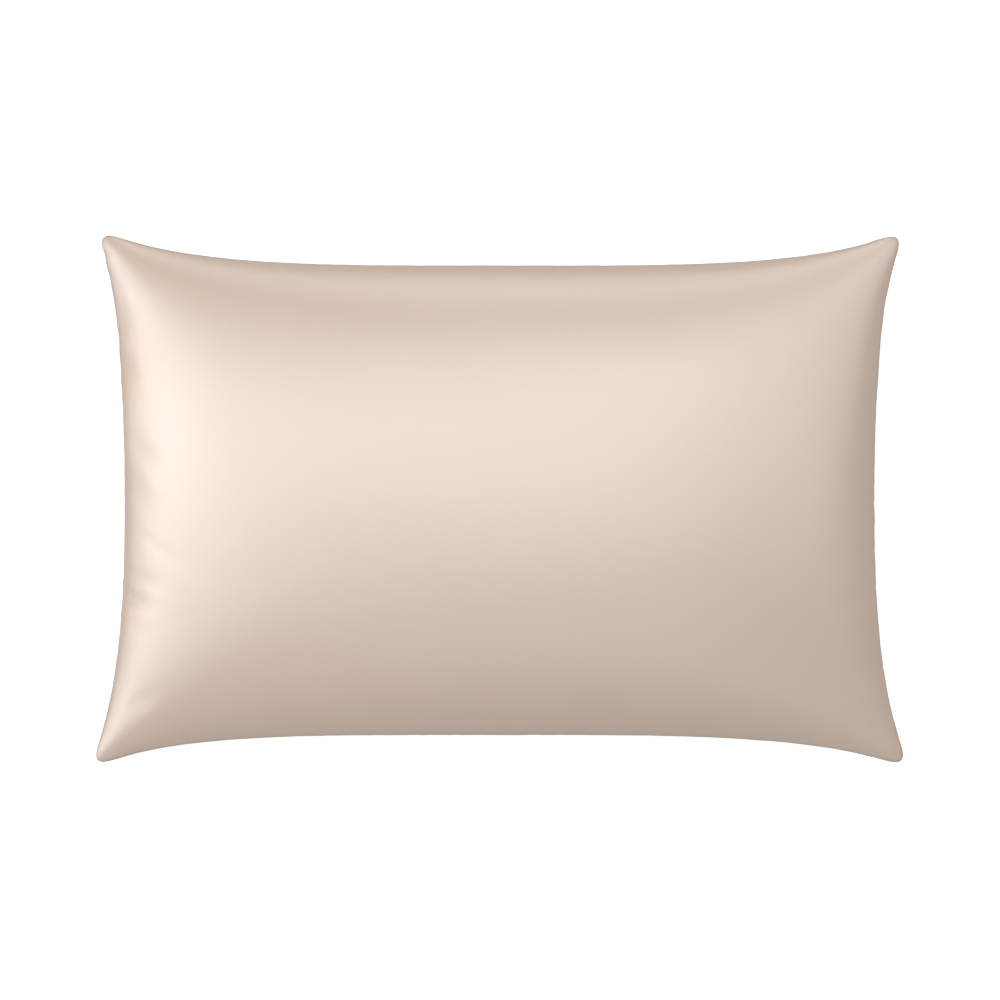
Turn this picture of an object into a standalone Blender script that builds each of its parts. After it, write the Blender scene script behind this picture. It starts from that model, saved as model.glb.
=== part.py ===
"""A satin pillowcase filled with its pillow, lying on its back.

The case is two equal panels of cloth, front and back, sewn together along all four sides.
Filled, the panels bow out, the seam draws in between the corners, and the corners stay
flat and pointed. The filled case is one solid, with a flat patch where it rests.
Metres, +Z up: X runs along the long side and Y towards the top edge of the front view.
"""

from typing import NamedTuple

import bmesh
import bpy
import numpy as np

# The two panels, as cut and sewn.
FLAT_LENGTH = 0.762
FLAT_WIDTH = 0.508

# How far the filling draws each side in at its middle, and the seam rounded at each tip.
END_DRAW = 0.028
SIDE_DRAW = 0.033
TIP_EASE = 0.014

# The filled form: seam above the floor, front above the seam, back below it. The back turns
# up from the floor softly, and what stays this near the floor lies flat on it.
SEAM_HEIGHT = 0.070
CORNER_DROOP = 0.009
CROWN = 0.075
BELLY = 0.084
FLOOR_EASE = 0.005
FLAT_WITHIN = 0.0003
END_FULLNESS = 2.25
SIDE_FULLNESS = 2.05

# The grid of each panel, finer towards the seam. Beside the ends, where the creases are, the
# front's cells are halved.
CELLS_LONG = 44
CELLS_SHORT = 44
SEAM_CROWDING = 0.93
HALVED_FROM = 0.64
SEW_DISTANCE = 0.00002

# Creases fade out over this share of the rise next to the seam, and over these shares of
# their length on the far and the near side of their deepest point.
CREASE_CLEAR = 0.11
CREASE_FADE = 0.50
CREASE_FADE_OUT = 0.30

SATIN_COLOUR = (0.66, 0.52, 0.43, 1.0)
SATIN_ROUGHNESS = 0.42


class Corner(NamedTuple):
    """How the end seam and the long seam run out from their waists to one corner."""

    end_flare: float
    end_power: float
    long_flare: float
    long_power: float


CORNERS = {
    # (left or right, bottom or top): end flare and power, long flare and power
    (-1, 1): Corner(0.025, 2.8, 0.032, 3.8),
    (1, 1): Corner(0.027, 2.9, 0.031, 4.0),
    (-1, -1): Corner(0.031, 2.6, 0.029, 4.2),
    (1, -1): Corner(0.031, 2.6, 0.029, 3.7),
}


class Crease(NamedTuple):
    """A soft trough in the front, running in from beside an end seam.

    The end is -1 on the left and 1 on the right. Height and inset place the deepest point,
    above the middle and in from the seam, and turn is the slope of the run, in degrees and
    below zero downwards. A ridge has a depth below zero.
    """

    end: int
    height: float
    inset: float
    turn: float
    length: float
    width: float
    depth: float


CREASES = (
    # end, height, inset, turn, length, width, depth
    Crease(-1, 0.200, 0.025, -55, 0.100, 0.014, -0.0015),
    Crease(-1, 0.180, 0.005, -60, 0.040, 0.008, 0.0008),
    Crease(-1, 0.125, 0.005, -65, 0.070, 0.010, 0.0010),
    Crease(-1, 0.060, 0.000, 90, 0.090, 0.014, -0.0015),
    Crease(-1, 0.055, 0.010, -40, 0.055, 0.010, 0.0010),
    Crease(-1, 0.015, 0.010, -55, 0.080, 0.009, 0.0006),
    Crease(-1, -0.040, 0.030, -35, 0.050, 0.006, 0.0003),
    Crease(-1, -0.070, 0.010, -20, 0.040, 0.008, 0.0012),
    Crease(-1, -0.090, 0.008, -25, 0.035, 0.008, 0.0018),
    Crease(-1, -0.120, 0.018, -10, 0.030, 0.008, 0.0004),
    Crease(-1, -0.170, 0.018, 30, 0.050, 0.012, 0.0008),
    Crease(-1, -0.180, 0.015, 60, 0.080, 0.016, -0.0006),
    Crease(1, -0.050, 0.012, 20, 0.040, 0.010, 0.0004),
    Crease(1, -0.090, 0.010, -10, 0.040, 0.010, 0.0006),
    Crease(1, -0.120, 0.008, -10, 0.030, 0.008, 0.0006),
    Crease(1, -0.160, 0.008, -20, 0.035, 0.010, 0.0006),
)


def clear_scene():
    """Removes whatever the scene opened with."""
    for existing in list(bpy.data.objects):
        bpy.data.objects.remove(existing, do_unlink=True)


def satin():
    """The case's cloth, in its plain colour."""
    material = bpy.data.materials.new("satin")
    material.use_nodes = True
    shader = material.node_tree.nodes["Principled BSDF"]
    shader.inputs["Base Color"].default_value = SATIN_COLOUR
    shader.inputs["Roughness"].default_value = SATIN_ROUGHNESS
    shader.inputs["Metallic"].default_value = 0.0
    material.diffuse_color = SATIN_COLOUR
    return material


def crowded(along):
    """Moves evenly spaced grid lines, from -1 to 1, closer together towards the seam."""
    return (1 - SEAM_CROWDING) * along + SEAM_CROWDING * np.sin(along * np.pi / 2)


def past_corner(along, tip):
    """The share, from 0 to 1, of a grid line's place in the rounded stretch by the corner."""
    return np.clip((np.abs(along) - (1 - tip)) / tip, 0, 1)


def round_tips(p, q):
    """Draws the square corners of the grid in to quarter circles."""
    tip_p = TIP_EASE / (FLAT_LENGTH / 2)
    tip_q = TIP_EASE / (FLAT_WIDTH / 2)
    in_p, in_q = past_corner(p, tip_p), past_corner(q, tip_q)
    u = np.sign(p) * (np.abs(p) - tip_p * in_p * (1 - np.sqrt(1 - in_q**2 / 2)))
    v = np.sign(q) * (np.abs(q) - tip_q * in_q * (1 - np.sqrt(1 - in_p**2 / 2)))
    return u, v


def half_sizes(u, v):
    """Half the case's length and half its width, at each place on the panel."""
    length = np.full_like(u, FLAT_LENGTH / 2 - END_DRAW)
    width = np.full_like(u, FLAT_WIDTH / 2 - SIDE_DRAW)
    for (end, edge), corner in CORNERS.items():
        here = (np.where(u > 0, 1, -1) == end) & (np.where(v > 0, 1, -1) == edge)
        length += here * corner.end_flare * np.abs(v) ** corner.end_power
        width += here * corner.long_flare * np.abs(u) ** corner.long_power
    return length, width


def rise_of(p, q):
    """How full the case is, from 0 on the seam to 1 in the middle."""
    return np.sqrt((1 - np.abs(p) ** END_FULLNESS) * (1 - np.abs(q) ** SIDE_FULLNESS))


def smooth_panel(p, q, bulge):
    """Points of a panel without creases, where bulge is its height over the seam."""
    u, v = round_tips(p, q)
    length, width = half_sizes(u, v)
    z = SEAM_HEIGHT - CORNER_DROOP * (u * v) ** 2 + bulge * rise_of(p, q)
    return np.stack((u * length, v * width, z), axis=-1)


def normals_of(p, q, bulge, step=0.002):
    """Unit normals of the smooth front panel."""
    left, right = np.clip(p - step, -1, 1), np.clip(p + step, -1, 1)
    low, high = np.clip(q - step, -1, 1), np.clip(q + step, -1, 1)
    along_p = smooth_panel(right, q, bulge) - smooth_panel(left, q, bulge)
    along_q = smooth_panel(p, high, bulge) - smooth_panel(p, low, bulge)
    normal = np.cross(along_p, along_q)
    return normal / np.maximum(np.linalg.norm(normal, axis=-1, keepdims=True), 1e-12)


def crease_depth(points):
    """The depth below the smooth cloth of all creases together."""
    depth = np.zeros(len(points))
    for crease in CREASES:
        end_length, _ = half_sizes(np.float64(crease.end), crease.height / (FLAT_WIDTH / 2))
        deepest = np.array((crease.end * (end_length - crease.inset), crease.height))
        turn = np.radians(crease.turn)
        run = np.array((-crease.end * np.cos(turn), np.sin(turn)))
        gone = points[:, :2] - deepest
        along = gone @ run / crease.length
        across = (gone[:, 0] * run[1] - gone[:, 1] * run[0]) / crease.width
        fade = np.where(along > 0, CREASE_FADE, CREASE_FADE_OUT)
        depth += crease.depth * np.exp(-((along / fade) ** 2) - across**2)
    return depth


def front_points(p, q):
    """The crowned front, with its creases pressed in square to the cloth."""
    points = smooth_panel(p, q, CROWN)
    shown = np.clip(rise_of(p, q) / CREASE_CLEAR, 0, 1)
    depth = crease_depth(points) * shown
    return points - normals_of(p, q, CROWN) * depth[:, None]


def back_points(p, q):
    """The back, bowed down and pressed flat where it rests on the floor."""
    points = smooth_panel(p, q, -BELLY)
    eased = np.clip(points[:, 2] + FLOOR_EASE, 0, 2 * FLOOR_EASE)
    points[:, 2] = np.maximum(points[:, 2], FLOOR_EASE)
    points[:, 2] += eased**2 / (4 * FLOOR_EASE) - FLOOR_EASE
    points[points[:, 2] < FLAT_WITHIN, 2] = 0.0
    return points


def halve_end_cells(mesh, grid):
    """Halves the cells beside the ends of a new grid, clear of its edges."""
    beside = {vertex for vertex in grid if HALVED_FROM < abs(vertex.co.x) < 1}
    beside -= {vertex for vertex in beside if vertex.is_boundary}
    edges = {edge for vertex in beside for edge in vertex.link_edges}
    inner = [edge for edge in edges if beside.issuperset(edge.verts)]
    bmesh.ops.subdivide_edges(mesh, edges=inner, cuts=1, use_grid_fill=True)


def add_panel(mesh, shape, is_front):
    """Adds one panel: an even grid, laid out by shape."""
    before = set(mesh.verts)
    grid = bmesh.ops.create_grid(mesh, x_segments=CELLS_LONG, y_segments=CELLS_SHORT, size=1.0)
    if is_front:
        halve_end_cells(mesh, grid["verts"])
    made = [vertex for vertex in mesh.verts if vertex not in before]
    places = np.array([vertex.co[:2] for vertex in made])
    for vertex, point in zip(made, shape(crowded(places[:, 0]), crowded(places[:, 1]))):
        vertex.co = point
    if not is_front:
        faces = {face for vertex in made for face in vertex.link_faces}
        bmesh.ops.reverse_faces(mesh, faces=list(faces))


def centre_on_origin(mesh):
    """Sets the middle of the case's box over the origin."""
    corners = np.array([vertex.co for vertex in mesh.verts])
    middle = (corners.min(axis=0) + corners.max(axis=0)) / 2
    bmesh.ops.translate(mesh, verts=mesh.verts, vec=(-middle[0], -middle[1], 0))


def build_pillowcase():
    """The filled case: front and back panels, sewn together round the seam."""
    mesh = bmesh.new()
    add_panel(mesh, front_points, is_front=True)
    add_panel(mesh, back_points, is_front=False)
    bmesh.ops.remove_doubles(mesh, verts=mesh.verts, dist=SEW_DISTANCE)
    centre_on_origin(mesh)
    bmesh.ops.triangulate(mesh, faces=mesh.faces)

    data = bpy.data.meshes.new("pillowcase")
    mesh.to_mesh(data)
    mesh.free()
    data.shade_smooth()
    data.materials.append(satin())
    pillowcase = bpy.data.objects.new("pillowcase", data)
    bpy.context.scene.collection.objects.link(pillowcase)
    return pillowcase


clear_scene()
build_pillowcase()
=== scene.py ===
"""A filled satin pillowcase lying on its back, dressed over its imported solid.

The case is modelled as its two sewn panels: a cloth grid over the filled form, settled as
cloth under the pressure of its filling, then given its seam line, its small gathers and its
creases, each from its own row of sizes. Geometry Nodes lay the stitches along the seam.
"""

import logging
import math
from dataclasses import dataclass, field
from enum import Enum

import bpy
import numpy as np
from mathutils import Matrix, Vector

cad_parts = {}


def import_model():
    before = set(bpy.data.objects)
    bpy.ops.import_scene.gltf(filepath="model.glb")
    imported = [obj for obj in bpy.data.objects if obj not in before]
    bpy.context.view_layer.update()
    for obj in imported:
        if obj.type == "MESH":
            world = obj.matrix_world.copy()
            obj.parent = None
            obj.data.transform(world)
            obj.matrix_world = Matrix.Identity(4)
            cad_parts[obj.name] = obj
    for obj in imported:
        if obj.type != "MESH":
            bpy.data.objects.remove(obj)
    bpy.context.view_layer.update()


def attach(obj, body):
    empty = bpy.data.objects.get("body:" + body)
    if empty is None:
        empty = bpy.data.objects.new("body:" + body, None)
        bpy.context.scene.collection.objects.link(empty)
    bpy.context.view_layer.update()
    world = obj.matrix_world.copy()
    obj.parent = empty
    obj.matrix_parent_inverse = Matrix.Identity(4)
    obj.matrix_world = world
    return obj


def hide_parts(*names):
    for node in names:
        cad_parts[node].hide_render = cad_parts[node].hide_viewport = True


LOG = logging.getLogger("pillowcase")
NODE = "pillowcase"
BODY = "root"
CLOTH_MAP = "cloth"
SEAM_DISTANCE = "from_seam"
SEAM_SAMPLES = 4001
ON_SEAM = 1e-6


class Side(Enum):
    """The two panels of the case, with the way that each one bows."""

    FRONT = 1
    BACK = -1


@dataclass(frozen=True)
class Corner:
    """How the end seam and the long seam run out from their waists to one corner.

    Flares are in metres. A higher power keeps a seam straight for longer.
    """

    end_flare: float
    end_power: float
    long_flare: float
    long_power: float


@dataclass(frozen=True)
class Wander:
    """A slight outward bow in an end seam's run.

    The end is -1 on the left and 1 on the right. Lengths are in metres, and the place is
    above the seam's middle.
    """

    end: int
    place: float
    reach: float
    size: float


@dataclass(frozen=True)
class Crease:
    """A soft trough in the front, running in from beside an end seam.

    The end is -1 on the left and 1 on the right. Height and inset place the deepest point,
    above the middle and in from the seam, and turn is the slope of the run in degrees, below
    zero downwards. Lengths are in metres, and a ridge has a depth below zero.
    """

    end: int
    height: float
    inset: float
    turn: float
    length: float
    width: float
    depth: float


@dataclass(frozen=True)
class FilledForm:
    """The form of the filled case, from its flat size and how its filling shapes it."""

    flat_length: float = 0.762
    flat_width: float = 0.508
    end_draw: float = 0.028
    side_draw: float = 0.033
    tip_ease: float = 0.018
    seam_height: float = 0.070
    corner_droop: float = 0.009
    crown: float = 0.075
    belly: float = 0.084
    floor_ease: float = 0.005
    end_fullness: float = 2.25
    side_fullness: float = 2.05
    corner_fill: float = 0.0026
    corner_reach: float = 0.042
    corners: dict[tuple[int, int], Corner] = field(
        default_factory=lambda: {
            (-1, 1): Corner(0.025, 2.8, 0.032, 3.8),
            (1, 1): Corner(0.027, 2.9, 0.031, 4.0),
            (-1, -1): Corner(0.031, 2.6, 0.029, 4.2),
            (1, -1): Corner(0.031, 2.6, 0.029, 3.7),
        }
    )
    wanders: tuple[Wander, ...] = (
        Wander(-1, 0.120, 0.040, 0.0010),
        Wander(1, 0.110, 0.050, 0.0010),
    )

    @staticmethod
    def _past_corner(along: np.ndarray, tip: float) -> np.ndarray:
        """The share, from 0 to 1, of a line's place in the rounded stretch by a corner."""
        return np.clip((np.abs(along) - (1 - tip)) / tip, 0, 1)

    def round_tips(self, p: np.ndarray, q: np.ndarray) -> tuple[np.ndarray, np.ndarray]:
        """Draws the square corners of a panel in to quarter circles.

        Args:
            p: places along the panel, from -1 to 1.
            q: places across it, from -1 to 1.

        Returns:
            The same places with the four corners rounded.
        """
        tip_p = self.tip_ease / (self.flat_length / 2)
        tip_q = self.tip_ease / (self.flat_width / 2)
        in_p, in_q = self._past_corner(p, tip_p), self._past_corner(q, tip_q)
        u = np.sign(p) * (np.abs(p) - tip_p * in_p * (1 - np.sqrt(1 - in_q**2 / 2)))
        v = np.sign(q) * (np.abs(q) - tip_q * in_q * (1 - np.sqrt(1 - in_p**2 / 2)))
        return u, v

    def _filled_out(self, along: np.ndarray, half: float) -> np.ndarray:
        """How far a seam is filled out towards its ends, where along is from -1 to 1."""
        return self.corner_fill * np.exp(-(((1 - np.abs(along)) * half / self.corner_reach) ** 2))

    def half_sizes(self, u: np.ndarray, v: np.ndarray) -> tuple[np.ndarray, np.ndarray]:
        """Half the filled case's length and half its width at each place.

        Args:
            u: places along the panel, from -1 to 1, with the tips rounded.
            v: places across it.

        Returns:
            Both half sizes, in metres.
        """
        length = self.flat_length / 2 - self.end_draw + self._filled_out(v, self.flat_width / 2)
        width = self.flat_width / 2 - self.side_draw + self._filled_out(u, self.flat_length / 2)
        for (end, edge), corner in self.corners.items():
            here = (np.where(u > 0, 1, -1) == end) & (np.where(v > 0, 1, -1) == edge)
            length += here * corner.end_flare * np.abs(v) ** corner.end_power
            width += here * corner.long_flare * np.abs(u) ** corner.long_power
        for bow in self.wanders:
            past = (v * (self.flat_width / 2) - bow.place) / bow.reach
            length += bow.size * np.exp(-(past**2)) * (np.sign(u) == bow.end)
        return length, width

    def swell_along(self, p: np.ndarray) -> np.ndarray:
        """How full the case is along its length, from 0 on the end seams to 1."""
        return np.sqrt(np.clip(1 - np.abs(p) ** self.end_fullness, 0, 1))

    def swell_across(self, q: np.ndarray) -> np.ndarray:
        """How full the case is across its width, from 0 on the long seams to 1."""
        return np.sqrt(np.clip(1 - np.abs(q) ** self.side_fullness, 0, 1))

    def middle(self) -> np.ndarray:
        """The middle of the box round the case, seen from above.

        Returns:
            Its x and y, in metres.
        """
        around = np.linspace(-1, 1, SEAM_SAMPLES)
        ones = np.ones_like(around)
        p = np.concatenate((around, around, ones, -ones))
        q = np.concatenate((ones, -ones, around, around))
        seam = self.points(p, q, Side.FRONT)[:, :2]
        return (seam.min(axis=0) + seam.max(axis=0)) / 2

    def points(self, p: np.ndarray, q: np.ndarray, side: Side) -> np.ndarray:
        """Points of a panel of the smooth form.

        Args:
            p: places along the panel, from -1 to 1.
            q: places across it, from -1 to 1.
            side: which panel.

        Returns:
            One row of x, y and z for each place, in metres.
        """
        u, v = self.round_tips(p, q)
        length, width = self.half_sizes(u, v)
        bulge = self.crown if side is Side.FRONT else -self.belly
        rise = self.swell_along(p) * self.swell_across(q)
        z = self.seam_height - self.corner_droop * (u * v) ** 2 + bulge * rise
        if side is Side.BACK:
            z = self.rested(z)
        return np.stack((u * length, v * width, z), axis=-1)

    def rested(self, z: np.ndarray) -> np.ndarray:
        """Presses heights flat where they would pass below the floor, with a soft edge.

        Args:
            z: heights above the floor, in metres.

        Returns:
            The heights of the resting cloth.
        """
        eased = np.clip(z + self.floor_ease, 0, 2 * self.floor_ease)
        over = np.maximum(z, self.floor_ease) - self.floor_ease
        return over + eased**2 / (4 * self.floor_ease)


@dataclass(frozen=True)
class ClothGrid:
    """Grid lines over a panel, even along the cloth and closer together at the seam."""

    form: FilledForm
    full_step: float = 0.0064
    first_step: float = 0.0007
    growth: float = 1.55
    profile_places: int = 600

    def lines(self, half: float) -> np.ndarray:
        """Spaces the grid lines across a panel.

        Args:
            half: half the cloth's size that way, in metres.

        Returns:
            The lines' places, from -1 to 1 over the cloth.
        """
        steps = [self.first_step]
        while steps[-1] * self.growth < self.full_step:
            steps.append(steps[-1] * self.growth)
        rest = half - sum(steps)
        count = math.ceil(rest / self.full_step)
        steps += [rest / count] * count
        from_seam = np.cumsum(steps) / half
        outer = np.concatenate(([0.0], from_seam[:-1]))
        return np.concatenate((outer - 1, [0.0], (1 - outer)[::-1]))

    @staticmethod
    def _even(swell: np.ndarray, along: np.ndarray, half: float, bulge: float) -> np.ndarray:
        """How far along the cloth each place of a profile lies.

        Args:
            swell: how full the case is at each place, from 0 to 1.
            along: the places, from 0 in the middle to 1 on the seam.
            half: half the cloth's size that way, in metres.
            bulge: the height of the panel's middle over its seam.

        Returns:
            The share of the cloth up to each place, from 0 to 1.
        """
        runs = np.hypot(np.diff(along) * half, np.diff(swell) * bulge)
        travelled = np.concatenate(([0.0], np.cumsum(runs)))
        return travelled / travelled[-1]

    def places(self) -> tuple[np.ndarray, np.ndarray, np.ndarray, np.ndarray]:
        """Lays the grid over a panel.

        Returns:
            Four arrays of rows and columns: the cloth's own places along and across,
            and the form's places p and q that they take when the case is filled.
        """
        form = self.form
        along = self.lines(form.flat_length / 2)
        across = self.lines(form.flat_width / 2)
        s, t = np.meshgrid(along, across, indexing="ij")
        fine = np.sin(np.linspace(0, math.pi / 2, self.profile_places))
        run_p = self._even(form.swell_along(fine), fine, form.flat_length / 2, form.crown)
        run_q = self._even(form.swell_across(fine), fine, form.flat_width / 2, form.crown)
        filled_s = np.sign(s) * np.interp(np.abs(s), run_p, fine)
        filled_t = np.sign(t) * np.interp(np.abs(t), run_q, fine)
        p = s + form.swell_across(t) * (filled_s - s)
        q = t + form.swell_along(s) * (filled_t - t)
        return s, t, p, q


@dataclass(frozen=True)
class SeamShape:
    """How the turned seam shows: the line where the panels meet, and its gathers."""

    groove_depth: float = 0.00055
    groove_width: float = 0.00055
    lip_height: float = 0.00012
    lip_from_seam: float = 0.0014
    lip_width: float = 0.0011
    pucker_pitch: float = 0.0125
    pucker_depth: float = 0.00040
    pucker_width: float = 0.0034
    pucker_reach: float = 0.0130
    pucker_lean: float = 0.45
    pucker_fan: float = 0.8
    widths: tuple[float, float] = (0.6, 1.6)
    reaches: tuple[float, float] = (0.4, 1.5)
    depths: tuple[float, float] = (0.2, 1.0)
    ways: tuple[float, ...] = (1, 1, -0.7)
    gone_after: float = 3
    quiet_long_sides: float = 0.5
    quiet_front: float = 0.35
    loud_within: float = 0.006
    tip_reach: float = 0.0120
    tip_ease: float = 0.5
    seed: int = 4

    def profile(self, cloth: "ClothPlaces") -> np.ndarray:
        """How far the cloth stands out of the form beside the seam, in metres.

        The seam is a fine groove between two lips, which flattens out at the corners.

        Args:
            cloth: where the points lie on the cloth.

        Returns:
            A distance for each point, below zero in the groove.
        """
        from_seam = cloth.from_seam()
        groove = self.groove_depth * np.exp(-((from_seam / self.groove_width) ** 2))
        lip = np.exp(-(((from_seam - self.lip_from_seam) / self.lip_width) ** 2))
        return (self.lip_height * lip - groove) * (1 - self.tip_ease * self.at_tips(cloth))

    def at_tips(self, cloth: "ClothPlaces") -> np.ndarray:
        """How near each point is to the tip of a corner, from 0 to 1."""
        from_tip = np.hypot(cloth.from_end(), cloth.from_long())
        return np.exp(-((from_tip / self.tip_reach) ** 4))

    def _one_seam(self, along: np.ndarray, from_seam: np.ndarray, seam: int) -> np.ndarray:
        """The depth of one seam's gathers below the form.

        Args:
            along: each point's place along the seam, from its middle, in metres.
            from_seam: each point's distance from it.
            seam: the seam's number, which seeds its draws.

        Returns:
            The depth at each point, below zero where a gather stands out.
        """
        drawn = np.random.default_rng(self.seed + seam)
        length = np.ptp(along)
        depth = np.zeros_like(along)
        near = from_seam < self.gone_after * self.pucker_reach
        x, d = along[near], from_seam[near]
        total = np.zeros_like(x)
        for _ in range(round(length / self.pucker_pitch)):
            centre, lean = drawn.uniform(-0.5, 0.5) * length, drawn.normal(0, self.pucker_lean)
            width = self.pucker_width * drawn.uniform(*self.widths)
            reach = self.pucker_reach * drawn.uniform(*self.reaches)
            size = self.pucker_depth * drawn.uniform(*self.depths) * drawn.choice(self.ways)
            offset = (x - centre - lean * d) / (width * (1 + self.pucker_fan * d / reach))
            total += size * np.exp(-(offset**2) - (d / reach) ** 2)
        depth[near] = total
        return depth

    def gathers(self, cloth: "ClothPlaces") -> np.ndarray:
        """How far the small gathers of all four seams lie below the form.

        Args:
            cloth: where the points lie on the cloth.

        Returns:
            A depth for each point, in metres.
        """
        from_end, from_long = cloth.from_end(), cloth.from_long()
        on_ends = np.zeros_like(cloth.x)
        on_longs = np.zeros_like(cloth.x)
        for seam, way in enumerate((-1, 1)):
            here = np.sign(cloth.x) == way
            on_ends += here * self._one_seam(cloth.y, from_end, seam)
            here = np.sign(cloth.y) == way
            on_longs += here * self._one_seam(cloth.x, from_long, seam + 2)
        depth = on_ends + self.quiet_long_sides * on_longs
        by_seam = np.exp(-((cloth.from_seam() / self.loud_within) ** 2))
        quiet = self.quiet_front + (1 - self.quiet_front) * by_seam
        return depth * np.where(cloth.front, quiet, 1.0) * (1 - self.at_tips(cloth))


@dataclass(frozen=True)
class ClothPlaces:
    """Where each point of a mesh lies on its panel's cloth, in metres from its middle."""

    x: np.ndarray
    y: np.ndarray
    front: np.ndarray
    half: tuple[float, float]

    def from_end(self) -> np.ndarray:
        """Distances over the cloth to the nearer end seam."""
        return self.half[0] - np.abs(self.x)

    def from_long(self) -> np.ndarray:
        """Distances over the cloth to the nearer long seam."""
        return self.half[1] - np.abs(self.y)

    def from_seam(self) -> np.ndarray:
        """Distances over the cloth to the nearest seam."""
        return np.minimum(self.from_end(), self.from_long())


@dataclass(frozen=True)
class Filling:
    """How the case settles as cloth under the pressure of its filling.

    The case already has its filled form, so of the settled cloth only the folds are kept,
    which are what a point's move doesn't share with the moves all round it.
    """

    pressure: float = 4.0
    frames: int = 20
    ease: float = 0.012
    most_moved: float = 0.005
    evenings: int = 60
    quality: int = 6
    stiffness: float = 15.0
    shear_stiffness: float = 5.0
    bending: float = 0.6
    weight: float = 0.3

    def _run(self, case: bpy.types.Object, held: np.ndarray) -> np.ndarray:
        """Runs the cloth.

        Args:
            case: the case, whose mesh is left as it is.
            held: marks the points that stay put.

        Returns:
            The settled cloth's points.
        """
        group = case.vertex_groups.new(name="held")
        group.add([int(row) for row in np.flatnonzero(held)], 1.0, "REPLACE")
        cloth = case.modifiers.new("filling", "CLOTH")
        settings = cloth.settings
        settings.quality = self.quality
        settings.mass = self.weight
        settings.tension_stiffness = self.stiffness
        settings.compression_stiffness = self.stiffness
        settings.shear_stiffness = self.shear_stiffness
        settings.bending_stiffness = self.bending
        settings.use_pressure = True
        settings.uniform_pressure_force = self.pressure
        settings.shrink_min = -self.ease
        settings.vertex_group_mass = group.name
        settings.effector_weights.gravity = 0
        cloth.collision_settings.use_self_collision = False
        cloth.point_cache.frame_end = self.frames
        scene = bpy.context.scene
        for frame in range(1, self.frames + 1):
            scene.frame_set(frame)
        evaluated = case.evaluated_get(bpy.context.evaluated_depsgraph_get())
        settled = read_points(evaluated.data)
        case.modifiers.remove(cloth)
        case.vertex_groups.remove(group)
        scene.frame_set(1)
        return settled

    def _evened(self, mesh: bpy.types.Mesh, moves: np.ndarray, held: np.ndarray) -> np.ndarray:
        """Averages the points' moves over their surroundings, again and again.

        Args:
            mesh: the mesh that the points belong to.
            moves: how far each point has moved.
            held: marks the points that stay put.

        Returns:
            The broad moves that neighbouring points share.
        """
        ends = np.empty(len(mesh.edges) * 2, np.int32)
        mesh.edges.foreach_get("vertices", ends)
        one, other = ends[::2], ends[1::2]
        neighbours = np.bincount(ends, minlength=len(moves))[:, None]
        broad = moves.copy()
        for _ in range(self.evenings):
            total = np.zeros_like(broad)
            np.add.at(total, one, broad[other])
            np.add.at(total, other, broad[one])
            broad = 0.5 * (broad + total / neighbours)
            broad[held] = 0
        return broad

    def settle(self, case: bpy.types.Object, held: np.ndarray, kept: np.ndarray) -> None:
        """Gives the case the folds of its settled cloth.

        Args:
            case: the case, whose mesh is changed.
            held: marks the points that stay put.
            kept: each point's share of its folds that is kept.
        """
        before = read_points(case.data)
        moves = self._run(case, held) - before
        folds = moves - self._evened(case.data, moves, held)
        reach = np.maximum(np.linalg.norm(folds, axis=1, keepdims=True), 1e-9)
        folds *= self.most_moved * np.tanh(reach / self.most_moved) / reach
        write_points(case.data, before + folds * kept[:, None])


def read_points(mesh: bpy.types.Mesh) -> np.ndarray:
    """Reads a mesh's points.

    Args:
        mesh: the mesh.

    Returns:
        One row of x, y and z for each point.
    """
    points = np.empty(len(mesh.vertices) * 3, np.float32)
    mesh.vertices.foreach_get("co", points)
    return points.reshape(-1, 3).astype(float)


def read_normals(mesh: bpy.types.Mesh) -> np.ndarray:
    """Reads a mesh's normals at its points.

    Args:
        mesh: the mesh.

    Returns:
        One row for each point.
    """
    normals = np.empty(len(mesh.vertices) * 3, np.float32)
    mesh.vertex_normals.foreach_get("vector", normals)
    return normals.reshape(-1, 3).astype(float)


def write_points(mesh: bpy.types.Mesh, points: np.ndarray) -> None:
    """Moves the mesh's points."""
    mesh.vertices.foreach_set("co", points.astype(np.float32).ravel())
    mesh.update()


def add_object(name: str, mesh: bpy.types.Mesh) -> bpy.types.Object:
    """Adds an object at the origin.

    Args:
        name: the object's name.
        mesh: its mesh.

    Returns:
        The object.
    """
    made = bpy.data.objects.new(name, mesh)
    bpy.context.scene.collection.objects.link(made)
    return made


@dataclass
class Wire:
    """A value in a shader tree, with the arithmetic that the finishes use."""

    tree: "ShaderTree"
    socket: bpy.types.NodeSocket

    def __add__(self, other: "Wire | float") -> "Wire":
        """The sum."""
        return self.tree.maths("ADD", self, other)

    def __sub__(self, other: "Wire | float") -> "Wire":
        """The difference."""
        return self.tree.maths("SUBTRACT", self, other)

    def __rsub__(self, other: float) -> "Wire":
        """The difference from a number."""
        return self.tree.maths("SUBTRACT", other, self)

    def __mul__(self, other: "Wire | float") -> "Wire":
        """The product."""
        return self.tree.maths("MULTIPLY", self, other)

    __radd__ = __add__
    __rmul__ = __mul__


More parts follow.
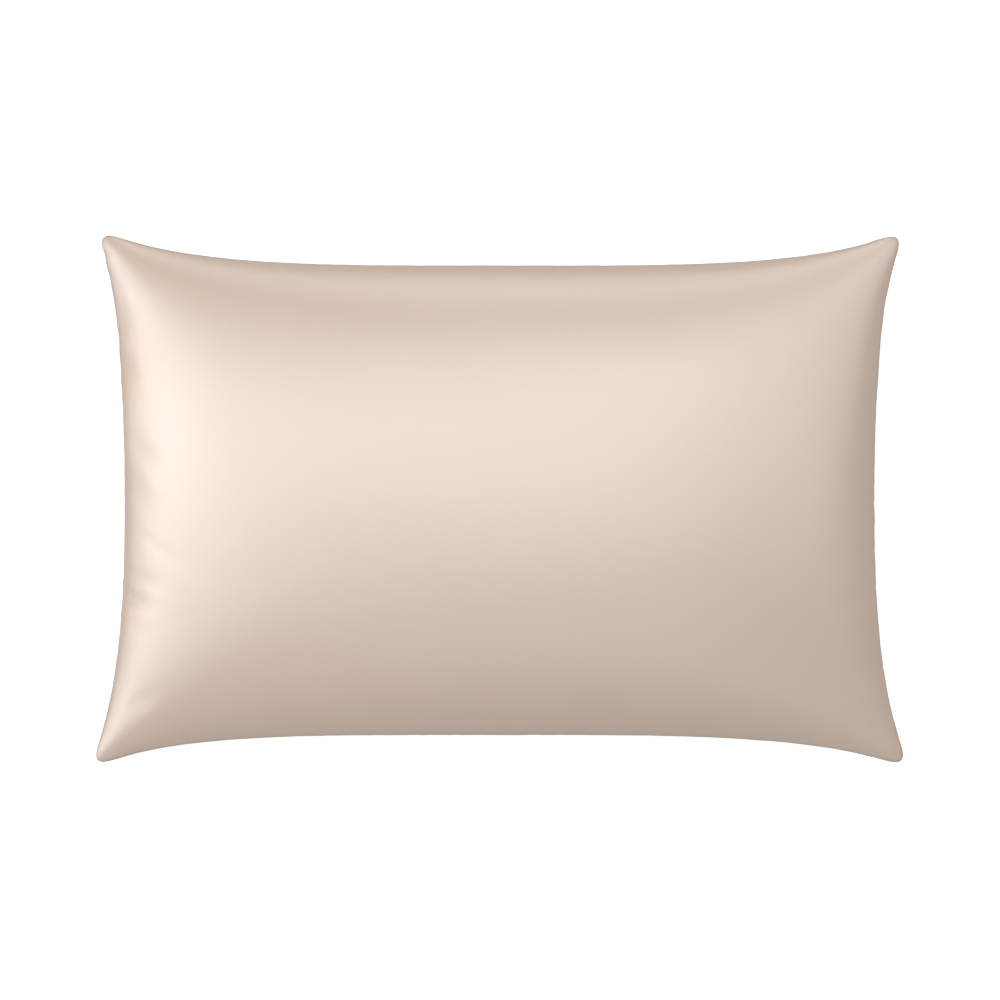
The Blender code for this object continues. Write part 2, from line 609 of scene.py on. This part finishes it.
class ShaderTree:
    """A material's node tree, built by calls."""

    def __init__(self, name: str) -> None:
        """Starts an empty material.

        Args:
            name: the material's name.
        """
        self.material = bpy.data.materials.new(name)
        self.material.use_nodes = True
        self.nodes = self.material.node_tree.nodes
        self.links = self.material.node_tree.links
        self.nodes.clear()

    def node(self, kind: str, inputs: dict, settings: dict | None = None) -> bpy.types.Node:
        """Adds a node.

        Args:
            kind: the node's type.
            inputs: each socket's value, or the wire or socket that feeds it.
            settings: the node's own settings, which are set first.

        Returns:
            The node.
        """
        made = self.nodes.new(kind)
        for setting, value in (settings or {}).items():
            setattr(made, setting, value)
        for name, value in inputs.items():
            socket = made.inputs[name]
            if isinstance(value, Wire):
                value = value.socket
            if isinstance(value, bpy.types.NodeSocket):
                self.links.new(value, socket)
            else:
                socket.default_value = value
        return made

    def maths(self, operation: str, *values: "Wire | float") -> Wire:
        """Adds a Math node and returns its result."""
        made = self.node("ShaderNodeMath", dict(enumerate(values)), {"operation": operation})
        return Wire(self, made.outputs[0])

    def value(self, node: bpy.types.Node, output: str | int = 0) -> Wire:
        """A wire from one of a node's outputs."""
        return Wire(self, node.outputs[output])

    def output(self, surface: bpy.types.NodeSocket) -> bpy.types.Material:
        """Ends the tree in a surface and returns the material."""
        self.node("ShaderNodeOutputMaterial", {"Surface": surface})
        return self.material


@dataclass(frozen=True)
class SatinFinish:
    """Champagne satin: a warm cloth colour under a soft near-white sheen, with painted shade
    darkening the colour along the seam.
    """

    colour: tuple[float, float, float] = (0.626, 0.460, 0.350)
    roughness: float = 0.32
    ior: float = 2.15
    specular_level: float = 1.0
    thread: float = 0.00022
    float_length: float = 0.0015
    thread_gap: float = 0.18
    float_offset: float = 0.4
    low_float: float = 0.8
    weave_relief: float = 0.000012
    cloud_scale: float = 9.0
    cloud_drift: float = 0.04
    cloud_roughness: float = 0.03
    streak_scale: tuple[float, float, float] = (14.0, 900.0, 1.0)
    streak_drift: float = 0.03
    # Painted shade along the seam: how much darker the colour is on the seam, and the distance
    # over which it fades out.
    seam_painted_shade: float = 0.32
    painted_shade_width: float = 0.006

    def material(self) -> bpy.types.Material:
        """Builds the satin, woven on the cloth's own map.

        Returns:
            The material.
        """
        tree = ShaderTree("champagne_satin")
        place = tree.node("ShaderNodeUVMap", {}, {"uv_map": CLOTH_MAP}).outputs["UV"]
        weave = tree.node(
            "ShaderNodeTexBrick",
            {
                "Vector": place,
                "Color1": (1, 1, 1, 1),
                "Color2": (self.low_float,) * 3 + (1,),
                "Mortar": (0, 0, 0, 1),
                "Scale": 1.0,
                "Mortar Size": self.thread * self.thread_gap,
                "Mortar Smooth": 1.0,
                "Brick Width": self.float_length,
                "Row Height": self.thread,
            },
            {"offset": self.float_offset, "offset_frequency": 2},
        )
        cloudy = tree.node(
            "ShaderNodeTexNoise",
            {"Vector": place, "Scale": self.cloud_scale, "Detail": 3.0, "Roughness": 0.5},
        )
        streaks = tree.node(
            "ShaderNodeTexNoise",
            {
                "Vector": tree.node(
                    "ShaderNodeMapping", {"Vector": place, "Scale": self.streak_scale}
                ).outputs[0],
                "Scale": 1.0,
                "Detail": 2.0,
            },
        )
        clouds, streaked = tree.value(cloudy) - 0.5, tree.value(streaks) - 0.5
        drift = clouds * self.cloud_drift + streaked * self.streak_drift
        # Painted shade: the satin's colour darkens towards the seam, standing in for the shadow
        # in the seam's groove and on the steep cloth beside it.
        from_seam = tree.node("ShaderNodeAttribute", {}, {"attribute_name": SEAM_DISTANCE})
        painted_shade_factor = tree.node(
            "ShaderNodeMapRange",
            {
                "Value": from_seam.outputs["Fac"],
                "From Max": self.painted_shade_width,
                "To Min": 1 - self.seam_painted_shade,
            },
            {"interpolation_type": "SMOOTHSTEP"},
        )
        colour = tree.node(
            "ShaderNodeVectorMath",
            {0: self.colour, "Scale": (1 + drift) * tree.value(painted_shade_factor)},
            {"operation": "SCALE"},
        )
        bump = tree.node(
            "ShaderNodeBump",
            {"Height": weave.outputs["Color"], "Strength": 1.0, "Distance": self.weave_relief},
        )
        satin = tree.node(
            "ShaderNodeBsdfPrincipled",
            {
                "Base Color": colour.outputs[0],
                "Roughness": self.roughness + clouds * self.cloud_roughness,
                "IOR": self.ior,
                "Specular IOR Level": self.specular_level,
                "Normal": bump.outputs[0],
            },
        )
        return tree.output(satin.outputs[0])


@dataclass(frozen=True)
class ThreadFinish:
    """The seam's sewing thread, a shade deeper than the satin."""

    colour: tuple[float, float, float] = (0.50, 0.40, 0.32)
    roughness: float = 0.45
    twist_pitch: float = 0.0004
    # Painted shade of the twist: the darkest band's share of the colour, and how much the bands
    # lighten from it.
    darkest: float = 0.85
    twist_painted_shade: float = 0.2

    def material(self) -> bpy.types.Material:
        """Builds the thread, with painted shade in diagonal bands for the fine ridges of its
        twist.

        Returns:
            The material.
        """
        tree = ShaderTree("sewing_thread")
        place = tree.node("ShaderNodeTexCoord", {}).outputs["Object"]
        twist = tree.node(
            "ShaderNodeTexWave",
            {"Vector": place, "Scale": 1 / self.twist_pitch, "Distortion": 1.0},
            {"bands_direction": "DIAGONAL"},
        )
        # Painted shade: the thread's colour darkens in diagonal bands along its twist, for the
        # grooves between its ridges.
        shade = self.darkest + tree.value(twist, "Fac") * self.twist_painted_shade
        colour = tree.node(
            "ShaderNodeVectorMath", {0: self.colour, "Scale": shade}, {"operation": "SCALE"}
        )
        thread = tree.node(
            "ShaderNodeBsdfPrincipled",
            {"Base Color": colour.outputs[0], "Roughness": self.roughness},
        )
        return tree.output(thread.outputs[0])


@dataclass
class FilledCase:
    """The two sewn panels over their filling, as one closed padded piece."""

    form: FilledForm
    seam: SeamShape
    filling: Filling
    creases: tuple[Crease, ...]
    finish: SatinFinish
    crease_clear: float = 0.008
    crease_fade: float = 0.50
    crease_fade_out: float = 0.30
    back_folds: float = 0.8
    front_folds: float = 0.04
    back_beside: float = 0.9
    held_within: float = 0.00125

    def _panel(self, side: Side, rows: np.ndarray) -> tuple[np.ndarray, list, list]:
        """Lays one panel over the form.

        Args:
            side: which panel.
            rows: the number of each of the panel's points in the finished mesh.

        Returns:
            The panel's points, its faces, and the place on the cloth of each face's corners.
        """
        s, t, p, q = ClothGrid(self.form).places()
        points = self.form.points(p, q, side)
        beside = 0.0 if side is Side.FRONT else self.back_beside
        laid = np.stack((s * self.form.flat_length / 2 + beside, t * self.form.flat_width / 2))
        faces, places = [], []
        for i in range(s.shape[0] - 1):
            for j in range(s.shape[1] - 1):
                ring = [(i, j), (i + 1, j), (i + 1, j + 1), (i, j + 1)]
                ring = ring if side is Side.FRONT else ring[::-1]
                faces.append([rows[at] for at in ring])
                places += [laid[:, at[0], at[1]] for at in ring]
        return points, faces, places

    def cut_and_sew(self) -> tuple[bpy.types.Object, np.ndarray]:
        """Makes both panels in their filled form, sharing the points of the seam.

        Returns:
            The case, and a mark for each point on the seam or the floor.
        """
        shape = ClothGrid(self.form).places()[0].shape
        front = np.arange(shape[0] * shape[1]).reshape(shape)
        inside = np.zeros(shape, bool)
        inside[1:-1, 1:-1] = True
        back = front.copy()
        back[inside] = front.size + np.arange(inside.sum())
        points, faces, places = self._panel(Side.FRONT, front)
        back_points, back_faces, back_places = self._panel(Side.BACK, back)
        sewn = np.concatenate((points.reshape(-1, 3), back_points[inside]))
        held = sewn[:, 2] < self.held_within
        held[front[~inside]] = True
        sewn[:, :2] -= self.form.middle()
        mesh = bpy.data.meshes.new("satin_case")
        mesh.from_pydata(sewn.tolist(), [], faces + back_faces)
        laid = mesh.uv_layers.new(name=CLOTH_MAP)
        laid.data.foreach_set("uv", np.array(places + back_places, np.float32).ravel())
        mesh.validate()
        return add_object("satin_case", mesh), held

    def _cloth_places(self, mesh: bpy.types.Mesh) -> ClothPlaces:
        """Reads each point's place on its cloth from the mesh's map.

        Args:
            mesh: the case's mesh.

        Returns:
            The places of all points.
        """
        corners = np.empty(len(mesh.loops), np.int32)
        mesh.loops.foreach_get("vertex_index", corners)
        laid = np.empty(len(mesh.loops) * 2, np.float32)
        mesh.uv_layers[CLOTH_MAP].data.foreach_get("uv", laid)
        laid = laid.reshape(-1, 2).astype(float)
        on_back = laid[:, 0] > self.back_beside / 2
        laid[:, 0] -= on_back * self.back_beside
        x, y, front = (np.zeros(len(mesh.vertices)) for _ in range(3))
        x[corners], y[corners] = laid[:, 0], laid[:, 1]
        np.maximum.at(front, corners, ~on_back)
        half = (self.form.flat_length / 2, self.form.flat_width / 2)
        return ClothPlaces(x, y, front > 0, half)

    def _crease_depth(self, points: np.ndarray) -> np.ndarray:
        """Adds up the depth of all creases below the smooth cloth.

        Args:
            points: the case's points.

        Returns:
            The depth at each point, in metres.
        """
        depth = np.zeros(len(points))
        seen = points[:, :2] + self.form.middle()
        for crease in self.creases:
            at = crease.height / (self.form.flat_width / 2)
            end_length, _ = self.form.half_sizes(np.float64(crease.end), at)
            deepest = np.array((crease.end * (end_length - crease.inset), crease.height))
            turn = math.radians(crease.turn)
            run = np.array((-crease.end * math.cos(turn), math.sin(turn)))
            gone = seen - deepest
            along = gone @ run / crease.length
            across = (gone[:, 0] * run[1] - gone[:, 1] * run[0]) / crease.width
            fade = np.where(along > 0, self.crease_fade, self.crease_fade_out)
            depth += crease.depth * np.exp(-((along / fade) ** 2) - across**2)
        return depth

    def press_in(self, case: bpy.types.Object) -> None:
        """Gives the settled case its seam line, its gathers and its creases.

        Args:
            case: the case, whose mesh is changed.
        """
        points, normals = read_points(case.data), read_normals(case.data)
        cloth = self._cloth_places(case.data)
        out = self.seam.profile(cloth) - self.seam.gathers(cloth)
        shown = np.clip(cloth.from_seam() / self.crease_clear, 0, 1) * cloth.front
        out -= self._crease_depth(points) * shown
        points += normals * out[:, None]
        points[:, 2] = np.maximum(points[:, 2], 0)
        write_points(case.data, points)

    def mark_seam(self, case: bpy.types.Object) -> None:
        """Writes each point's distance from the seam, which the satin's painted seam shade
        follows.
        """
        marks = case.data.attributes.new(SEAM_DISTANCE, "FLOAT", "POINT")
        marks.data.foreach_set("value", self._cloth_places(case.data).from_seam())

    def build(self) -> bpy.types.Object:
        """Makes the case, settles it, and finishes it.

        Returns:
            The closed padded piece.
        """
        case, held = self.cut_and_sew()
        on_front = self._cloth_places(case.data).front
        kept = np.where(on_front, self.front_folds, self.back_folds)
        self.filling.settle(case, held, kept)
        finer = case.modifiers.new("finer", "SUBSURF")
        finer.levels = finer.render_levels = 1
        keep_evaluated(case)
        self.press_in(case)
        self.mark_seam(case)
        case.data.shade_smooth()
        case.data.materials.append(self.finish.material())
        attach(case, BODY)
        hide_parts(NODE)
        return case


@dataclass
class SeamThread:
    """The stitches that show in the seam's groove, laid round it by Geometry Nodes."""

    finish: ThreadFinish
    pitch: float = 0.0026
    length: float = 0.0019
    thickness: float = 0.00044
    lean: float = 0.12
    segments: int = 6
    rings: int = 5
    seed: int = 3

    def _path(self, case: bpy.types.Object) -> bpy.types.Object:
        """Adds the line along the bottom of the seam's groove.

        Args:
            case: the case, with its distances from the seam written.

        Returns:
            The line, as loose edges.
        """
        marks = np.empty(len(case.data.vertices), np.float32)
        case.data.attributes[SEAM_DISTANCE].data.foreach_get("value", marks)
        ends = np.empty(len(case.data.edges) * 2, np.int32)
        case.data.edges.foreach_get("vertices", ends)
        ends = ends.reshape(-1, 2)
        on_seam = ends[(marks[ends] < ON_SEAM).all(axis=1)]
        rows, edges = np.unique(on_seam, return_inverse=True)
        mesh = bpy.data.meshes.new("seam_thread")
        points = read_points(case.data)[rows]
        mesh.from_pydata(points.tolist(), edges.reshape(-1, 2).tolist(), [])
        return add_object("seam_thread", mesh)

    def _tree(self) -> bpy.types.NodeTree:
        """Builds the node tree that turns a closed line into a row of stitches.

        Returns:
            The tree.
        """
        tree = bpy.data.node_groups.new("stitches", "GeometryNodeTree")
        for name, kind in (
            ("Geometry", "Geometry"),
            ("Pitch", "Float"),
            ("Length", "Float"),
            ("Thickness", "Float"),
            ("Lean", "Float"),
            ("Thread", "Material"),
        ):
            tree.interface.new_socket(name, in_out="INPUT", socket_type="NodeSocket" + kind)
        tree.interface.new_socket("Geometry", in_out="OUTPUT", socket_type="NodeSocketGeometry")

        def node(kind: str, **settings: object) -> bpy.types.Node:
            """Adds a node with those settings."""
            made = tree.nodes.new(kind)
            for setting, value in settings.items():
                setattr(made, setting, value)
            return made

        def link(source: bpy.types.NodeSocket, target: bpy.types.NodeSocket) -> None:
            """Links two sockets."""
            tree.links.new(source, target)

        given = node("NodeGroupInput").outputs
        line = node("GeometryNodeMeshToCurve")
        places = node("GeometryNodeCurveToPoints", mode="LENGTH")
        # A ball one metre across, which the sizes scale down to one stitch.
        shape = node("GeometryNodeMeshUVSphere")
        shape.inputs["Segments"].default_value = self.segments
        shape.inputs["Rings"].default_value = self.rings
        shape.inputs["Radius"].default_value = 0.5
        sizes = node("ShaderNodeCombineXYZ")
        stitch = node("GeometryNodeTransform")
        back = node("ShaderNodeMath", operation="MULTIPLY")
        back.inputs[1].default_value = -1.0
        drawn = node("FunctionNodeRandomValue", data_type="FLOAT")
        drawn.inputs["Seed"].default_value = self.seed
        angles = node("ShaderNodeCombineXYZ")
        lean = node("FunctionNodeEulerToRotation")
        turned = node("FunctionNodeRotateRotation", rotation_space="LOCAL")
        row = node("GeometryNodeInstanceOnPoints")
        real = node("GeometryNodeRealizeInstances")
        smooth = node("GeometryNodeSetShadeSmooth")
        coloured = node("GeometryNodeSetMaterial")
        result = node("NodeGroupOutput")
        link(given["Geometry"], line.inputs["Mesh"])
        link(line.outputs["Curve"], places.inputs["Curve"])
        link(given["Pitch"], places.inputs["Length"])
        link(given["Thickness"], sizes.inputs["X"])
        link(given["Thickness"], sizes.inputs["Y"])
        link(given["Length"], sizes.inputs["Z"])
        link(shape.outputs["Mesh"], stitch.inputs["Geometry"])
        link(sizes.outputs["Vector"], stitch.inputs["Scale"])
        # Inputs 2 and 3 and output 1 are the least, the most and the result of a drawn float.
        link(given["Lean"], back.inputs[0])
        link(back.outputs[0], drawn.inputs[2])
        link(given["Lean"], drawn.inputs[3])
        link(drawn.outputs[1], angles.inputs["X"])
        link(angles.outputs["Vector"], lean.inputs["Euler"])
        link(places.outputs["Rotation"], turned.inputs["Rotation"])
        link(lean.outputs["Rotation"], turned.inputs["Rotate By"])
        link(places.outputs["Points"], row.inputs["Points"])
        link(stitch.outputs["Geometry"], row.inputs["Instance"])
        link(turned.outputs["Rotation"], row.inputs["Rotation"])
        link(row.outputs["Instances"], real.inputs["Geometry"])
        link(real.outputs["Geometry"], smooth.inputs["Geometry"])
        link(smooth.outputs["Geometry"], coloured.inputs["Geometry"])
        link(given["Thread"], coloured.inputs["Material"])
        link(coloured.outputs["Geometry"], result.inputs["Geometry"])
        return tree

    def build(self, case: bpy.types.Object) -> bpy.types.Object:
        """Lays the stitches round the finished case.

        Args:
            case: the case, with its distances from the seam written.

        Returns:
            All stitches as one piece.
        """
        thread = self._path(case)
        tree = self._tree()
        sockets = {item.name: item.identifier for item in tree.interface.items_tree}
        stitches = thread.modifiers.new("stitches", "NODES")
        stitches.node_group = tree
        stitches[sockets["Pitch"]] = self.pitch
        stitches[sockets["Length"]] = self.length
        stitches[sockets["Thickness"]] = self.thickness
        stitches[sockets["Lean"]] = self.lean
        stitches[sockets["Thread"]] = self.finish.material()
        keep_evaluated(thread)
        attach(thread, BODY)
        return thread


def keep_evaluated(piece: bpy.types.Object) -> None:
    """Turns a piece's modifiers into plain mesh.

    Args:
        piece: the piece, which keeps its name.
    """
    evaluated = piece.evaluated_get(bpy.context.evaluated_depsgraph_get())
    mesh = bpy.data.meshes.new_from_object(evaluated)
    mesh.name = piece.name
    piece.modifiers.clear()
    piece.data = mesh


@dataclass(frozen=True)
class Softbox:
    """One soft square light of the studio, aimed at the middle of the case.

    Tilt is the angle from straight above and bearing the way round from +X, in degrees.
    """

    name: str
    tilt: float
    bearing: float
    size: float
    power: float
    distance: float = 3.4

    def build(self, target: Vector) -> None:
        """Adds the light.

        Args:
            target: the point that it is aimed at.
        """
        light = bpy.data.lights.new(self.name, "AREA")
        light.shape = "SQUARE"
        light.size = self.size
        light.energy = self.power
        tilt, bearing = math.radians(self.tilt), math.radians(self.bearing)
        flat = math.sin(tilt)
        way = Vector((flat * math.cos(bearing), flat * math.sin(bearing), math.cos(tilt)))
        lamp = bpy.data.objects.new(self.name, light)
        lamp.location = target + way * self.distance
        lamp.rotation_euler = way.to_track_quat("Z", "Y").to_euler()
        bpy.context.scene.collection.objects.link(lamp)


@dataclass(frozen=True)
class FloorFinish:
    """A pale floor that glows a little, so that only close contact leaves a shadow on it.

    It looks paler to the camera than it is to the underside of the case.
    """

    glow: float = 0.74
    shown: float = 0.55
    glow_beneath: float = 0.245
    bounced: float = 0.30

    @staticmethod
    def _glowing(tree: ShaderTree, grey: float, glow: float) -> bpy.types.NodeSocket:
        """Adds a plain matt surface that glows.

        Args:
            tree: the tree to add it to.
            grey: its colour, from 0 to 1.
            glow: the strength of its glow.

        Returns:
            The surface.
        """
        matt = tree.node("ShaderNodeBsdfDiffuse", {"Color": (grey,) * 3 + (1,)})
        light = tree.node("ShaderNodeEmission", {"Strength": glow})
        both = tree.node("ShaderNodeAddShader", {0: matt.outputs[0], 1: light.outputs[0]})
        return both.outputs[0]

    def material(self) -> bpy.types.Material:
        """Builds the floor's material.

        Returns:
            The material.
        """
        tree = ShaderTree("pale_floor")
        ray = tree.node("ShaderNodeLightPath", {})
        seen = self._glowing(tree, self.shown, self.glow)
        beneath = self._glowing(tree, self.bounced, self.glow_beneath)
        mixed = tree.node(
            "ShaderNodeMixShader", {0: ray.outputs["Is Camera Ray"], 1: beneath, 2: seen}
        )
        return tree.output(mixed.outputs[0])


@dataclass
class Studio:
    """The plain pale floor, the soft lights, the surroundings and the camera."""

    floor_half: float = 8.0
    floor_gap: float = 0.0003
    surroundings: float = 0.42
    lens: float = 100.0
    view_width: float = 0.942
    sideways: tuple[float, float] = (0.0004, -0.0010)
    lights: tuple[Softbox, ...] = (
        # name, tilt, bearing, size, power
        Softbox("left_key", 40, 180, 2.6, 20),
        Softbox("left_upper", 50, 160, 2.0, 13),
        Softbox("left_low", 70, 190, 2.6, 20),
        Softbox("overhead", 15, 80, 2.6, 22),
        Softbox("upper", 20, 95, 2.6, 4),
        Softbox("top", 60, 75, 2.6, 6),
        Softbox("front_fill", 25, 280, 2.6, 6),
        Softbox("right_fill", 45, 30, 2.6, 11),
        Softbox("right_low", 45, 5, 1.2, 1.5),
        Softbox("top_low", 80, 90, 2.6, 11),
    )

    def floor(self) -> None:
        """Adds the floor, just under the case."""
        corners = [(x, y, 0) for x, y in ((-1, -1), (1, -1), (1, 1), (-1, 1))]
        mesh = bpy.data.meshes.new("floor")
        mesh.from_pydata([Vector(c) * self.floor_half for c in corners], [], [(0, 1, 2, 3)])
        mesh.materials.append(FloorFinish().material())
        floor = add_object("floor", mesh)
        floor.location.z = -self.floor_gap

    def world(self) -> None:
        """Sets the even light of the surroundings, which look plain white themselves."""
        world = bpy.data.worlds.new("studio")
        world.use_nodes = True
        nodes, links = world.node_tree.nodes, world.node_tree.links
        ray, brightness = nodes.new("ShaderNodeLightPath"), nodes.new("ShaderNodeMapRange")
        brightness.inputs["To Min"].default_value = self.surroundings
        brightness.inputs["To Max"].default_value = 1.0
        links.new(ray.outputs["Is Camera Ray"], brightness.inputs["Value"])
        sky = nodes["Background"]
        sky.inputs["Color"].default_value = (1, 1, 1, 1)
        links.new(brightness.outputs["Result"], sky.inputs["Strength"])
        bpy.context.scene.world = world

    def camera(self, seam_height: float) -> None:
        """Adds the camera, straight above the case and square to its face.

        Args:
            seam_height: the height that the view's width is measured at.
        """
        data = bpy.data.cameras.new("camera")
        data.lens = self.lens
        distance = self.view_width * self.lens / data.sensor_width
        camera = bpy.data.objects.new("camera", data)
        camera.location = (*self.sideways, seam_height + distance)
        bpy.context.scene.collection.objects.link(camera)
        bpy.context.scene.camera = camera

    def build(self, form: FilledForm) -> None:
        """Sets the whole studio up round the case.

        Args:
            form: the filled form of the case.
        """
        target = Vector((0, 0, form.seam_height))
        self.floor()
        self.world()
        self.camera(form.seam_height)
        for light in self.lights:
            light.build(target)
        bpy.context.scene.view_settings.view_transform = "Standard"


# The creases that show at the two ends of the front.
CREASES = (
    # end, height, inset, turn, length, width, depth
    Crease(-1, 0.200, 0.025, -55, 0.100, 0.014, -0.0004),
    Crease(-1, 0.180, 0.005, -60, 0.040, 0.008, 0.0008),
    Crease(-1, 0.130, 0.005, -65, 0.045, 0.009, 0.0010),
    Crease(-1, 0.060, 0.000, 90, 0.090, 0.014, -0.0020),
    Crease(-1, 0.055, 0.010, -45, 0.070, 0.009, 0.0010),
    Crease(-1, 0.015, 0.010, -55, 0.080, 0.009, 0.0007),
    Crease(-1, -0.040, 0.030, -35, 0.070, 0.006, 0.0005),
    Crease(-1, -0.070, 0.010, -20, 0.050, 0.008, 0.0015),
    Crease(-1, -0.090, 0.008, -25, 0.040, 0.008, 0.0022),
    Crease(-1, -0.120, 0.018, -10, 0.030, 0.008, 0.0004),
    Crease(-1, -0.190, 0.030, 35, 0.050, 0.010, 0.0008),
    Crease(-1, -0.150, 0.015, 70, 0.050, 0.012, -0.0003),
    Crease(1, -0.050, 0.012, 20, 0.040, 0.010, 0.0004),
    Crease(1, -0.090, 0.010, -10, 0.040, 0.010, 0.0006),
    Crease(1, -0.120, 0.008, -10, 0.030, 0.008, 0.0006),
    Crease(1, -0.160, 0.008, -20, 0.035, 0.010, 0.0006),
)


def main() -> None:
    """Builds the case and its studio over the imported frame."""
    logging.basicConfig(level=logging.INFO, format="%(message)s")
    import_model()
    form = FilledForm()
    case = FilledCase(form, SeamShape(), Filling(), CREASES, SatinFinish()).build()
    LOG.info("%s: %d faces", case.name, len(case.data.polygons))
    thread = SeamThread(ThreadFinish()).build(case)
    LOG.info("%s: %d faces", thread.name, len(thread.data.polygons))
    Studio().build(form)
    bpy.context.view_layer.update()


if __name__ == "__main__":
    main()
